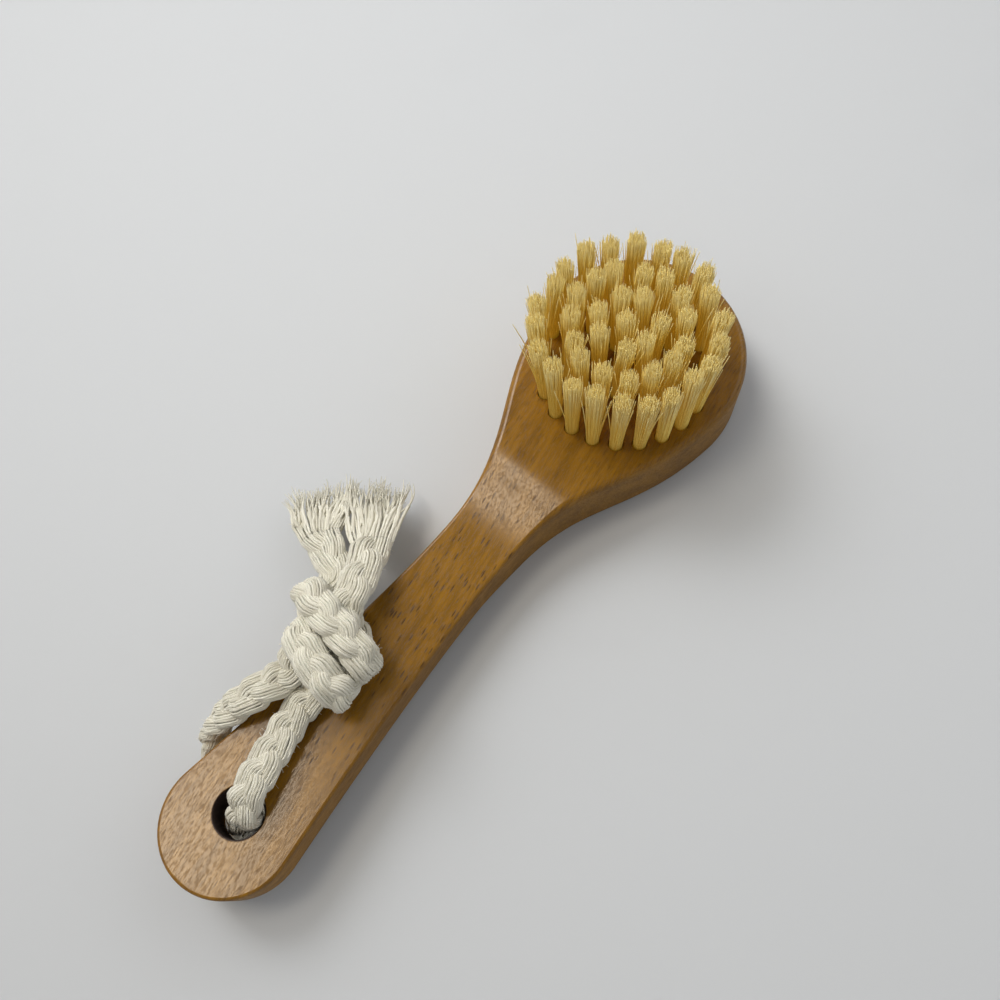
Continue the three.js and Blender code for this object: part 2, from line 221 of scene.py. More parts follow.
class BrushColours(bpy.types.PropertyGroup):
    """Colours of the finishes"""

    beech: colour("Beech", "Main colour of the wood", (0.32, 0.152, 0.011))
    beech_dark: colour("Beech, dark", "Darker streaks of the wood", (0.20, 0.092, 0.005))
    fleck: colour("Fleck", "Short dark rays in the wood", (0.072, 0.029, 0.002))
    # Painted shade: nearly black wood on the wall of the hanging hole, which lies in shade
    hole: colour("Hole", "Wood inside the hanging hole", (0.022, 0.009, 0.005))
    bristle_root: colour("Bristle root", "Bristles near the wood", (0.95, 0.72, 0.19))
    # Painted glow: an emission on the bristles that stands in for light passing through them
    bristle_painted_glow: colour("Bristle glow", "Light that comes through the bristles", (1.0, 0.58, 0.03))
    bristle_tip: colour("Bristle tip", "Cut tips of the bristles", (0.96, 0.85, 0.44))
    cotton: colour("Cotton", "Undyed cotton", (0.83, 0.805, 0.695))
    cotton_shade: colour("Cotton, shade", "Duller yarns of the cotton", (0.69, 0.66, 0.55))
    cotton_speck: colour("Cotton, speck", "Bits of seed husk in the cotton", (0.16, 0.11, 0.06))
    floor: colour("Floor", "Table top", (0.61, 0.63, 0.65))


class StageSettings(bpy.types.PropertyGroup):
    """Camera and light"""

    camera: place("Camera", "Place of the camera", (-33.36, -48.35, 201.39))
    heading: angle("Heading", "Direction of view, from +X towards +Y", 47.47)
    tilt: angle("Tilt", "Downward tilt of the view", 70.23)
    roll: angle("Roll", "Turn of the camera about its view", 8.23)
    focal_share: amount("Focal share", "Focal length as a share of the sensor's width", 1.0929)
    floor_size: length("Floor size", "Width of the table top", 6000)
    near_light: amount("Near light", "Light of the room on the viewer's side", 0.32)
    low_light: amount("Low light", "Light of the room near the horizon", 0.25)
    room_light: amount("Room light", "Light of the room halfway up", 1.2)
    overhead_light: amount("Overhead light", "Light of the room straight above", 0.2)
    lamp: place("Lamp", "Place of the ceiling lamp", (-150, 300, 1000))
    lamp_width: length("Lamp width", "Width of the ceiling lamp", 260)
    lamp_power: amount("Lamp power", "Power of the ceiling lamp in watts", 2.1)
    lamp_colour: colour("Lamp colour", "Colour of the ceiling lamp's light", (1.0, 0.89, 0.73))
    window: place("Window", "Place of the window", (100, 500, 550))
    window_aim: place("Window aim", "Point that the window's light is aimed at", (110, 80, 0))
    window_spread: angle("Window spread", "Angle over which the window's light spreads", 50)
    window_width: length("Window width", "Width of the window", 400)
    window_power: amount("Window power", "Power of the window's light in watts", 0.34)


class FacialBrushSettings(bpy.types.PropertyGroup):
    """Everything that can be set on the brush"""

    wood: PointerProperty(type=WoodSizes)
    tufts: PointerProperty(type=TuftSizes)
    cord: PointerProperty(type=CordSizes)
    colours: PointerProperty(type=BrushColours)
    stage: PointerProperty(type=StageSettings)


# Shading


class Wire:
    """An output of a shader node. Arithmetic on wires adds Math nodes to their finish."""

    def __init__(self, finish, socket):
        self.finish = finish
        self.socket = socket

    def output(self, name):
        """Another output of the same node."""
        return Wire(self.finish, self.socket.node.outputs[name])

    def maths(self, operation, first, second):
        return self.finish.node("ShaderNodeMath", {"operation": operation}, {0: first, 1: second})

    def __add__(self, other):
        return self.maths("ADD", self, other)

    __radd__ = __add__

    def __mul__(self, other):
        return self.maths("MULTIPLY", self, other)

    __rmul__ = __mul__

    def __sub__(self, other):
        return self.maths("SUBTRACT", self, other)

    def __rsub__(self, other):
        return self.maths("SUBTRACT", other, self)


class Finish:
    """The node tree of a material or a world, put together from wires."""

    # A Mix node's sockets for colours, which share their names with those for other values
    first_colour = 6
    second_colour = 7
    mixed_colour = 2

    def __init__(self, owner):
        owner.use_nodes = True
        self.owner = owner
        self.tree = owner.node_tree
        self.tree.nodes.clear()

    def node(self, kind, settings=None, sockets=None, output=0):
        """Adds a node: its settings first, then the values or wires of its sockets."""
        node = self.tree.nodes.new(kind)
        for key, value in (settings or {}).items():
            setattr(node, key, value)
        for key, value in (sockets or {}).items():
            if isinstance(value, Wire):
                self.tree.links.new(value.socket, node.inputs[key])
            else:
                node.inputs[key].default_value = value
        return Wire(self, node.outputs[output]) if node.outputs else None

    def coordinates(self, waves, turn=0.0):
        """Object coordinates turned about Z, with so many waves to a millimetre along X, Y and Z."""
        spot = self.node("ShaderNodeTexCoord", output="Object")
        turned = self.node("ShaderNodeMapping", sockets={"Vector": spot, "Rotation": (0, 0, -turn)})
        scale = [value / MM for value in waves]
        return self.node("ShaderNodeVectorMath", {"operation": "MULTIPLY"}, {0: turned, 1: scale})

    def noise(self, waves, detail=2.0, roughness=0.5, turn=0.0):
        vector = self.coordinates(waves, turn)
        settings = {"Vector": vector, "Scale": 1, "Detail": detail, "Roughness": roughness}
        return self.node("ShaderNodeTexNoise", sockets=settings, output="Fac")

    def sine(self, value):
        return self.node("ShaderNodeMath", {"operation": "SINE"}, {0: value})

    def attribute(self, name):
        return self.node("ShaderNodeAttribute", {"attribute_name": name}, output="Fac")

    def fade(self, value, low, high):
        """0 where the value is at the first limit, 1 at the second, and smooth between them."""
        limits = {"Value": value, "From Min": low, "From Max": high}
        return self.node("ShaderNodeMapRange", {"interpolation_type": "SMOOTHSTEP"}, limits)

    def mix(self, factor, first, second):
        """A colour between two colours."""
        sockets = {0: factor, self.first_colour: rgba(first), self.second_colour: rgba(second)}
        return self.node("ShaderNodeMix", {"data_type": "RGBA"}, sockets, output=self.mixed_colour)

    def bump(self, height, strength, distance_mm):
        sockets = {"Height": height, "Strength": strength, "Distance": distance_mm * MM}
        return self.node("ShaderNodeBump", sockets=sockets)

    def surface(self, **sockets):
        """Ends the finish in one surface shader. Socket names use underscores for spaces."""
        named = {key.replace("_", " "): value for key, value in sockets.items()}
        shader = self.node("ShaderNodeBsdfPrincipled", sockets=named)
        self.node("ShaderNodeOutputMaterial", sockets={"Surface": shader})
        return self.owner


def new_finish(name):
    return Finish(bpy.data.materials.new(name))


def rgba(value):
    return value if isinstance(value, Wire) else (*value, 1)


# Patterns in the wood, as waves to a millimetre along the grain, across it and through the wood
STREAK_WAVES = (0.025, 0.35, 0.35)
FIBRE_WAVES = (0.2, 1.6, 0.5)
PORE_WAVES = (0.85, 5.0, 5.0)
RAY_WAVES = (0.35, 1.8, 0.04)

# The stretches along the brush, in millimetres, over which the rays get fainter
RAYS_FADE_ON_HEAD = (8, 26)
RAYS_FADE_AT_END = (-42, -55)


def beech_rays(finish, turn):
    """1 on the short dark rays of the wood, and less on the head and at the handle's end."""
    cells = finish.coordinates(RAY_WAVES, turn=turn)
    rays = finish.node(
        "ShaderNodeTexVoronoi", {"feature": "F1"}, {"Vector": cells, "Scale": 1, "Randomness": 1},
        output="Distance")
    chosen = finish.node("ShaderNodeSeparateColor", sockets={0: rays.output("Color")})
    along = finish.node("ShaderNodeSeparateXYZ", sockets={0: finish.coordinates((1, 1, 1))})
    on_head = finish.fade(along, *RAYS_FADE_ON_HEAD)
    at_end = finish.fade(along, *RAYS_FADE_AT_END)
    fainter = on_head * 0.55 + at_end * 0.6
    return finish.fade(rays, 0.37, 0.2) * finish.fade(chosen, 0.25, 0.6) * (1 - fainter)


def hole_wall_painted_shade(finish, wood):
    """1 on the wall of the hanging hole, where the wood is painted dark as shade, and 0 beyond its lip."""
    spot = finish.node("ShaderNodeTexCoord", output="Object")
    middle = (from_end(wood.hole_place), 0, 0)
    offset = finish.node("ShaderNodeVectorMath", {"operation": "SUBTRACT"}, {0: spot, 1: middle})
    flat = finish.node("ShaderNodeVectorMath", {"operation": "MULTIPLY"}, {0: offset, 1: (1, 1, 0)})
    reach = finish.node("ShaderNodeVectorMath", {"operation": "LENGTH"}, {0: flat}, output="Value")
    radius = wood.hole_diameter / 2
    lip = 0.3 * MM
    return finish.fade(reach, radius + lip, radius)


def beech_finish(colours, wood):
    """Oiled beech: soft streaks, fine pores, and short dark rays along the grain, with painted shade on the
    wall of the hanging hole.
    """
    finish = new_finish("oiled_beech")
    turn = wood.grain_turn
    streaks = finish.noise(STREAK_WAVES, detail=3, turn=turn)
    fibres = finish.noise(FIBRE_WAVES, detail=3, roughness=0.6, turn=turn)
    tone = finish.fade(streaks * 0.5 + fibres * 0.5, 0.36, 0.64)
    streaked = finish.mix(tone, colours.beech_dark, colours.beech)
    grit = finish.noise(PORE_WAVES, detail=2, roughness=0.6, turn=turn)
    pores = finish.fade(grit, 0.44, 0.62)
    bare = finish.mix(pores * 0.3, streaked, colours.fleck)
    normal = finish.node("ShaderNodeNewGeometry", output="Normal")
    upward = finish.node("ShaderNodeSeparateXYZ", sockets={0: normal}, output="Z")
    level = finish.fade(upward, 0.3, 0.8)
    sloped = finish.fade(upward, 1, 0.97)
    ray = beech_rays(finish, turn) * level
    flecked = finish.mix(ray * 0.9, bare, colours.fleck)
    inside = hole_wall_painted_shade(finish, wood)
    # Painted shade: the wall of the hanging hole is painted nearly black
    tinted = finish.mix(inside, flecked, colours.hole)
    rough = 0.5 - level * 0.34 + sloped * 0.06 + pores * 0.16 + ray * 0.08 + inside * 0.3
    relief = finish.bump(0 - grit * 0.6 - ray * 0.5, strength=0.14, distance_mm=0.05)
    return finish.surface(Base_Color=tinted, Roughness=rough, Normal=relief, Specular_IOR_Level=0.45)


def bristle_finish(colours):
    """Natural bristle: golden towards the root and pale at the cut tip, with a faint painted glow that
    stands in for light passing through the bristles.
    """
    finish = new_finish("natural_bristle")
    along = finish.attribute("along")
    tone = finish.attribute("tone")
    pale = finish.fade(along + tone * 0.2 - 0.1, 0.35, 1.0)
    body = finish.mix(pale, colours.bristle_root, colours.bristle_tip)
    dull = [channel * 0.5 for channel in colours.bristle_root]
    tinted = finish.mix(tone * 0.35, body, dull)
    # The emission is a painted glow, standing in for light that passes through the bristles
    return finish.surface(
        Base_Color=tinted, Roughness=0.42 + tone * 0.15, Specular_IOR_Level=0.4,
        Emission_Color=rgba(colours.bristle_painted_glow), Emission_Strength=0.055)


def cotton_finish(colours):
    """Undyed cotton: dull yarns of slightly different tones, with fine twisted plies."""
    finish = new_finish("undyed_cotton")
    tone = finish.attribute("tone")
    cloud = finish.noise((0.5, 0.5, 0.5), detail=2)
    shade = finish.fade(tone * 0.7 + cloud * 0.5, 0.25, 1.0)
    clean = finish.mix(shade, colours.cotton, colours.cotton_shade)
    specks = finish.noise((1.3, 1.3, 1.3), detail=1)
    tinted = finish.mix(finish.fade(specks, 0.78, 0.82) * 0.7, clean, colours.cotton_speck)
    spread = finish.node("ShaderNodeUVMap", {"uv_map": "Yarn"})
    around = finish.node("ShaderNodeSeparateXYZ", sockets={0: spread})
    plies = finish.sine(around * (4 * math.pi) + around.output("Y") * 1.1)
    fuzz = finish.noise((3.5, 3.5, 3.5), detail=2, roughness=0.7)
    relief = finish.bump(plies * 0.35 + fuzz, strength=0.45, distance_mm=0.1)
    return finish.surface(
        Base_Color=tinted, Roughness=0.92, Normal=relief, Sheen_Weight=0.2, Sheen_Roughness=0.5,
        Specular_IOR_Level=0.2)


def floor_finish(colours):
    """A pale satin table top with faint cloudy marks."""
    finish = new_finish("pale_table_top")
    cloud = finish.noise((0.02, 0.02, 0.02), detail=4, roughness=0.6)
    marks = finish.fade(cloud, 0.55, 0.8)
    tinted = finish.mix(marks * 0.06, colours.floor, [channel * 0.6 for channel in colours.floor])
    return finish.surface(Base_Color=tinted, Roughness=0.6 - marks * 0.08, Specular_IOR_Level=0.3)


# Meshes


def add_object(name, verts, faces):
    mesh = bpy.data.meshes.new(name)
    mesh.from_pydata(np.asarray(verts).tolist(), [], faces)
    mesh.validate()
    mesh.shade_smooth()
    thing = bpy.data.objects.new(name, mesh)
    bpy.context.scene.collection.objects.link(thing)
    return thing


def set_values(mesh, name, values):
    """Stores one number for each vertex, for a finish to read."""
    layer = mesh.attributes.new(name, "FLOAT", "POINT")
    layer.data.foreach_set("value", np.asarray(values, np.float32))


def unit(vectors):
    return vectors / np.linalg.norm(vectors, axis=-1, keepdims=True)


class Tubes:
    """Gathers many thin round tubes into one mesh."""

    def __init__(self):
        self.verts = []
        self.faces = []
        self.along = []
        self.tone = []
        self.corners = []
        self.total = 0

    def add(self, lines, radii, up, sides, tones, along=None):
        """Adds closed tubes: lines is (tubes, rings, 3), and the rest fits that shape."""
        tubes, rings = lines.shape[:2]
        radii = np.broadcast_to(radii, (tubes, rings))
        if along is None:
            along = np.linspace(0, 1, rings)
        heading = unit(np.gradient(lines, axis=1))
        side = unit(np.cross(heading, up))
        top = np.cross(side, heading)
        turn = np.linspace(0, 2 * math.pi, sides, endpoint=False)
        ring = side[:, :, None] * np.cos(turn)[:, None] + top[:, :, None] * np.sin(turn)[:, None]
        verts = lines[:, :, None] + ring * radii[:, :, None, None]
        self.verts.append(verts.reshape(-1, 3))
        self.along.append(np.broadcast_to(along, (tubes, rings)).repeat(sides))
        self.tone.append(np.repeat(tones, rings * sides))
        travel = np.linalg.norm(np.diff(lines, axis=1), axis=2).cumsum(axis=1) / radii[:, 1:]
        travel = np.concatenate([np.zeros((tubes, 1)), travel], axis=1)
        start = self.total + np.arange(tubes)[:, None, None] * rings * sides
        here = start + (np.arange(rings - 1)[:, None] * sides + np.arange(sides))
        following = start + (np.arange(rings - 1)[:, None] * sides + (np.arange(sides) + 1) % sides)
        quads = np.stack([here, here + sides, following + sides, following], axis=-1)
        self.faces += quads.reshape(-1, 4).tolist()
        step = np.arange(sides)
        low = np.broadcast_to(travel[:, :-1, None], here.shape)
        high = np.broadcast_to(travel[:, 1:, None], here.shape)
        left = np.broadcast_to(step / sides, here.shape)
        right = np.broadcast_to((step + 1) / sides, here.shape)
        corners = np.stack([left, low, left, high, right, high, right, low], axis=-1)
        self.corners.append(corners.reshape(-1, 2))
        for tube in range(tubes):
            first = self.total + tube * rings * sides
            last = first + (rings - 1) * sides
            self.faces.append(list(range(first, first + sides)))
            self.faces.append(list(range(last + sides - 1, last - 1, -1)))
        self.total += tubes * rings * sides
        self.corners.append(np.zeros((tubes * 2 * sides, 2)))

    def build(self, name, finish):
        thing = add_object(name, np.vstack(self.verts), self.faces)
        set_values(thing.data, "along", np.concatenate(self.along))
        set_values(thing.data, "tone", np.concatenate(self.tone))
        layer = thing.data.uv_layers.new(name="Yarn")
        layer.uv.foreach_set("vector", np.vstack(self.corners).astype(np.float32).ravel())
        thing.data.materials.append(finish)
        return thing


def lathe(profile, segments, axis_point, axis):
    """A closed solid of revolution. The profile is (radius, height) and starts and ends on the axis."""
    turn = np.linspace(0, 2 * math.pi, segments, endpoint=False)
    rings = profile[1:-1]
    local = [(0, 0, profile[0][1])]
    for radius, height in rings:
        local += [(radius * math.cos(a), radius * math.sin(a), height) for a in turn]
    local.append((0, 0, profile[-1][1]))
    faces = []
    end = len(local) - 1
    for j in range(segments):
        k = (j + 1) % segments
        faces.append((0, 1 + k, 1 + j))
        for ring in range(len(rings) - 1):
            low = 1 + ring * segments
            faces.append((low + j, low + k, low + segments + k, low + segments + j))
        last = 1 + (len(rings) - 1) * segments
        faces.append((last + j, last + k, end))
    turned = Vector(UP).rotation_difference(Vector(axis)).to_matrix()
    verts = np.array(local) @ np.array(turned).T + np.array(axis_point)
    return verts, faces


def joined(solids):
    verts = []
    faces = []
    total = 0
    for points, shape in solids:
        verts.append(points)
        faces += [tuple(total + index for index in face) for face in shape]
        total += len(points)
    return np.vstack(verts), faces


# Wooden body


def from_end(place_along):
    """X of a place that is measured from the end of the handle."""
    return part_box(BODY_NODE)[0].x + place_along


def head_circle():
    """X of the head's centre, and its radius."""
    low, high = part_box(BODY_NODE)
    radius = (high.y - low.y) / 2
    return high.x - radius, radius


def smooth_step(value, low, high):
    t = np.clip((value - low) / (high - low), 0, 1)
    return t * t * (3 - 2 * t)


def handle_rise(wood, x):
    start = from_end(wood.back_ramp_place)
    return np.maximum(0, start - x) * math.tan(wood.handle_sweep)


def back_height(wood, x):
    start = from_end(wood.back_ramp_place)
    lifted = 1 - smooth_step(x, start, start + wood.back_ramp_length)
    return wood.handle_lift * lifted + handle_rise(wood, x)


def head_share(wood, x):
    """How far the face has climbed to the head: level at first, then steeper up to a crease."""
    start = from_end(wood.face_ramp_place)
    around = np.linspace(-wood.crease_blend, wood.crease_blend, CREASE_STEPS + 1)
    climbs = [np.clip((x + shift - start) / wood.face_ramp_length, 0, 1) ** 2 for shift in around]
    return sum(climbs) / len(climbs)


def face_height(wood, x):
    handle_face = wood.handle_lift + wood.handle_thickness + handle_rise(wood, x)
    blend = head_share(wood, x)
    return handle_face * (1 - blend) + wood.head_thickness * blend


def edge_radius(wood, x):
    blend = head_share(wood, x)
    return wood.handle_edge * (1 - blend) + wood.head_rim * blend


def arc(centre, radius, start, stop, steps):
    """Points of an arc about a centre on the X axis, and their outward normals."""
    turn = np.linspace(start, stop, steps + 1)
    outward = np.stack([np.cos(turn), np.sin(turn)], axis=1)
    return np.array([centre, 0]) + radius * outward, outward


def cubic(t, first, b, c, last):
    """Points of a cubic curve, from its two ends and the two points that pull it."""
    return (1 - t) ** 3 * first + 3 * (1 - t) ** 2 * t * b + 3 * (1 - t) * t ** 2 * c + t ** 3 * last


def bezier(start, start_way, end, end_way, steps):
    """A curve between two points that leaves and arrives along the given ways, and its normals."""
    t = np.linspace(0, 1, steps + 1)[:, None]
    b = start + start_way
    c = end - end_way
    points = cubic(t, start, b, c, end)
    slope = (1 - t) ** 2 * (b - start) + 2 * (1 - t) * t * (c - b) + t ** 2 * (end - c)
    return points, unit(np.stack([-slope[:, 1], slope[:, 0]], axis=1))


def half_outline(wood):
    """Half of the outline from above, from the handle's end to the head's tip, and its normals."""
    end_x = from_end(wood.end_radius)
    head_x, head_radius = head_circle()
    quarter = math.pi / 2
    neck = np.array([from_end(wood.neck_place), wood.neck_width / 2])
    steps = OUTLINE_STEPS
    end_arc = arc(end_x, wood.end_radius, math.pi, quarter - wood.end_taper, steps["end"])
    head_arc = arc(head_x, head_radius, quarter + wood.head_flare, 0, steps["head"])
    end_way = np.array([math.cos(wood.end_taper), -math.sin(wood.end_taper)])
    head_way = np.array([math.cos(wood.head_flare), math.sin(wood.head_flare)])
    straight = np.array([1, 0])
    handle_side = bezier(
        end_arc[0][-1], end_way * wood.handle_pull, neck, straight * wood.handle_pull, steps["handle_side"])
    head_side = bezier(
        neck, straight * wood.head_pull, head_arc[0][0], head_way * wood.head_pull, steps["head_side"])
    pieces = [end_arc, handle_side, head_side]
    points = np.vstack([piece[0][:-1] for piece in pieces] + [head_arc[0]])
    outward = np.vstack([piece[1][:-1] for piece in pieces] + [head_arc[1]])
    return points, outward


def wood_blank(wood):
    """The body before drilling: outlines stacked from the back to the face, with rounded edges."""
    points, outward = half_outline(wood)
    tip = len(points) - 1
    mirror = np.array([1, -1])
    ring = np.vstack([points, points[tip - 1:0:-1] * mirror])
    normals = np.vstack([outward, outward[tip - 1:0:-1] * mirror])
    around = len(ring)
    radius = edge_radius(wood, ring[:, 0])
    turns = np.linspace(0, math.pi / 2, EDGE_STEPS + 1)
    verts = []
    for height, sign, order in ((back_height, 1, turns[::-1]), (face_height, -1, turns)):
        for turn in order:
            inset = radius * (1 - math.cos(turn))
            flat = ring - normals * inset[:, None]
            z = height(wood, flat[:, 0]) + sign * radius * (1 - math.sin(turn))
            verts.append(np.column_stack([flat, z]))
    levels = len(verts)
    faces = []
    for level in range(levels - 1):
        low = level * around
        for j in range(around):
            k = (j + 1) % around
            faces.append((low + j, low + around + j, low + around + k, low + k))
    top = (levels - 1) * around
    for i in range(tip):
        near = (i, i + 1, around - i - 1, (around - i) % around)
        strip = list(dict.fromkeys(near))
        faces.append([top + j for j in reversed(strip)])
        faces.append(strip)
    return np.vstack(verts), faces


def hanging_drill(wood):
    """The cutter of the hanging hole, with a rounded lip at the back and at the face."""
    x = from_end(wood.hole_place)
    low = float(back_height(wood, x))
    high = float(face_height(wood, x))
    radius = wood.hole_diameter / 2
    easing = wood.hole_easing
    beyond = 2 * MM
    lip = [
        (radius + easing * (1 - math.sin(turn)), easing * (1 - math.cos(turn)))
        for turn in np.linspace(0, math.pi / 2, LIP_STEPS + 1)]
    profile = [(0, low - beyond), (radius + easing, low - beyond)]
    profile += [(across, low + inward) for across, inward in lip]
    profile += [(across, high - inward) for across, inward in reversed(lip)]
    profile += [(radius + easing, high + beyond), (0, high + beyond)]
    middle = (low + high) / 2
    centred = [(across, height - middle) for across, height in profile]
    lean = (math.sin(wood.handle_sweep), 0, math.cos(wood.handle_sweep))
    return lathe(centred, HANGING_HOLE_SIDES, (x, 0, middle), lean)


def tuft_places(settings):
    """Each tuft's node, the mouth of its hole and its direction."""
    wood = settings.wood
    tufts = settings.tufts
    head_x, head_radius = head_circle()
    pitch = (head_radius - tufts.margin) / (len(TUFT_RINGS) - 1)
    middle = np.array([head_x - tufts.setback, 0, wood.head_thickness])
    focus = middle - np.array(UP) * tufts.focus_depth
    places = []
    for index, (ring, number) in enumerate(TUFT_RINGS):
        for k in range(number):
            turn = 2 * math.pi * k / number
            mouth = middle + index * pitch * np.array([math.cos(turn), math.sin(turn), 0])
            node = f"tuft_{ring}" if number == 1 else f"tuft_{ring}_{k + 1}"
            places.append((node, mouth, unit(mouth - focus)))
    return places


def tuft_drill(tufts, mouth, way):
    """The cutter of one tuft's hole: a drilled bottom and a small chamfer at the mouth."""
    radius = tufts.hole_radius
    easing = tufts.hole_easing
    wide = radius + 2 * easing
    beyond = 1 * MM
    profile = [
        (0, -tufts.hole_depth), (radius, -tufts.hole_depth), (radius, -easing),
        (wide, easing), (wide, beyond), (0, beyond)]
    return lathe(profile, TUFT_HOLE_SIDES, mouth, way)


def apply_modifiers(thing):
    bpy.context.view_layer.update()
    graph = bpy.context.evaluated_depsgraph_get()
    result = bpy.data.meshes.new_from_object(thing.evaluated_get(graph))
    thing.modifiers.clear()
    thing.data = result


def cut(thing, cutter):
    """Cuts one mesh out of another, and deletes the cutter."""
    boolean = thing.modifiers.new("holes", "BOOLEAN")
    boolean.operation = "DIFFERENCE"
    boolean.solver = "EXACT"
    boolean.object = cutter
    apply_modifiers(thing)
    bpy.data.objects.remove(cutter)


def even_shading(thing):
    """Smooth shading in which the broad faces keep their own normals beside a rounded edge."""
    sharpest_bend = math.radians(30)
    thing.data.shade_smooth()
    thing.data.set_sharp_from_angle(angle=sharpest_bend)
    weighted = thing.modifiers.new("normals", "WEIGHTED_NORMAL")
    weighted.keep_sharp = True
    apply_modifiers(thing)


# Cord


def smooth_curve(points, per_span):
    """A centripetal curve through the points, with so many steps between each two of them."""
    ends = [2 * points[0] - points[1]], [2 * points[-1] - points[-2]]
    p = np.vstack([ends[0], points, ends[1]])
    knots = np.concatenate([[0], np.cumsum(np.linalg.norm(np.diff(p, axis=0), axis=1) ** 0.5)])
    spans = []
    for i in range(1, len(p) - 2):
        t = np.linspace(knots[i], knots[i + 1], per_span, endpoint=False)[:, None]

        def between(a, b, first, last):
            return ((knots[last] - t) * a + (t - knots[first]) * b) / (knots[last] - knots[first])

        a = between(p[i - 1], p[i], i - 1, i)
        b = between(p[i], p[i + 1], i, i + 1)
        c = between(p[i + 1], p[i + 2], i + 1, i + 2)
        spans.append(between(between(a, b, i - 1, i + 1), between(b, c, i, i + 2), i, i + 1))
    return np.vstack(spans + [points[-1:]])


class CordPath:
    """The middle line of the cord in even steps, with the way that its broad face looks."""

    def __init__(self, step):
        points = np.array([point for _, stretch in CORD_ROUTE for point in stretch]) * MM
        per_span = 24
        curve = smooth_curve(points, per_span)
        travel = np.concatenate([[0], np.cumsum(np.linalg.norm(np.diff(curve, axis=0), axis=1))])
        self.length = travel[-1]
        rings = round(self.length / step) + 1
        self.travel = np.linspace(0, self.length, rings)
        self.to_end = np.minimum(self.travel, self.length - self.travel)
        self.points = np.stack([np.interp(self.travel, travel, curve[:, axis]) for axis in range(3)], axis=1)
        self.heading = unit(np.gradient(self.points, axis=0))
        marks = []
        facings = []
        index = 0
        for facing, stretch in CORD_ROUTE:
            marks.append(travel[index * per_span])
            facings.append(facing)
            index += len(stretch)
        marks.append(self.length)
        facings.append(UP)
        self.face = self.turned_face(np.array(marks), np.array(facings, float))
        self.side = np.cross(self.heading, self.face)

    def turned_face(self, marks, facings):
        """Carries a facing along without twist, then twists it evenly from mark to mark."""
        carried = [facings[0]]
        for way in self.heading:
            flat = carried[-1] - way * np.dot(carried[-1], way)
            carried.append(unit(flat))
        carried = np.array(carried[1:])
        other = np.cross(self.heading, carried)
        angles = []
        for mark, facing in zip(marks, facings):
            i = int(np.argmin(np.abs(self.travel - mark)))
            twist = math.atan2(np.dot(facing, other[i]), np.dot(facing, carried[i]))
            last = angles[-1] if angles else 0
            angles.append(last + (twist - last + math.pi / 2) % math.pi - math.pi / 2)
        twist = np.interp(self.travel, marks, angles)[:, None]
        return carried * np.cos(twist) + other * np.sin(twist)


def wobble(random, travel, size, wave):
    """A slow random sway along the cord."""
    sway = np.zeros_like(travel)
    for stretch in (1, 0.47):
        phase = random.uniform(0, 2 * math.pi)
        sway += stretch * np.sin(2 * math.pi * travel / (wave * stretch) + phase)
    return sway * size


def slack(cord, path):
    """How much wider the plait is where it loosens before it frays, and where it turns under the wood."""
    end_slack = 0.2
    bend_slack = 0.5
    bend_reach = 3 * MM
    loosened = end_slack * np.clip(1 - path.to_end / cord.lay, 0, 1) ** 1.5
    bend = np.argmin(np.linalg.norm(path.points - np.array(LOW_BEND) * MM, axis=1))
    flattened = bend_slack * np.exp(-((path.travel - path.travel[bend]) / bend_reach) ** 2)
    return 1 + loosened + flattened


def plait_turns(cord, path):
    """The turns of the plait up to each ring. The plait opens, and its lay grows, towards both ends."""
    open_reach = 1.3 * cord.lay
    most_open = 1.2
    opened = most_open * np.clip(1 - path.to_end / open_reach, 0, 1)
    return np.cumsum(np.gradient(path.travel) / (cord.lay * (1 + opened)))


def plait_yarns(cord, path):
    """The middle lines of all yarns of the three plaited strands, and the strands' own lines."""
    random = Random(SEEDS["plait"])
    widening = 1.12
    edge_dwell = 0.15
    swing = widening * (cord.width - cord.strand_width) / 2
    weave = (cord.thickness - cord.strand_thickness) / 2
    wide = cord.strand_width / 2 - cord.yarn_radius
    thick = cord.strand_thickness / 2 - cord.yarn_radius
    sway = 0.05 * MM
    loose = slack(cord, path)
    turns = plait_turns(cord, path)
    yarns = []
    strands = []
    for strand in range(3):
        turn = 2 * math.pi * (turns + strand / 3)
        across = swing * (np.sin(turn) + edge_dwell * np.sin(3 * turn)) * loose
        above = weave * np.sin(2 * turn)
        strands.append(path.points + path.side * across[:, None] + path.face * above[:, None])
        for yarn in range(cord.yarns):
            spot = 2 * math.pi * (yarn + random.uniform(-0.2, 0.2)) / cord.yarns
            side = wide * math.cos(spot) * loose + wobble(random, path.travel, sway, wave=7 * MM)
            up = thick * math.sin(spot) + wobble(random, path.travel, sway, wave=9 * MM)
            yarns.append(strands[-1] + path.side * side[:, None] + path.face * up[:, None])
    return np.array(yarns), np.array(strands)


def loose_fibres(cord, path, yarns):
    """The middle lines of short fibres that stand off the plait."""
    random = Random(SEEDS["fibres"])
    t = np.linspace(0, 1, 3)[:, None]
    shortest = 0.5 * MM
    longest = 1.3 * MM
    lowest = 0.1 * MM
    lines = []
    for fibre in range(cord.fibres):
        ring = random.randrange(len(path.points))
        start = yarns[random.randrange(len(yarns)), ring]
        stray = np.array([random.gauss(0, 1) for axis in range(3)])
        bend = np.array([random.gauss(0, 0.35) for axis in range(3)])
        way = unit(unit(start - path.points[ring]) + 0.5 * stray)
        line = start + (way * t + bend * t ** 2) * random.uniform(shortest, longest)
        line[:, 2] = np.maximum(line[:, 2], lowest)
        lines.append(line)
    return np.array(lines)


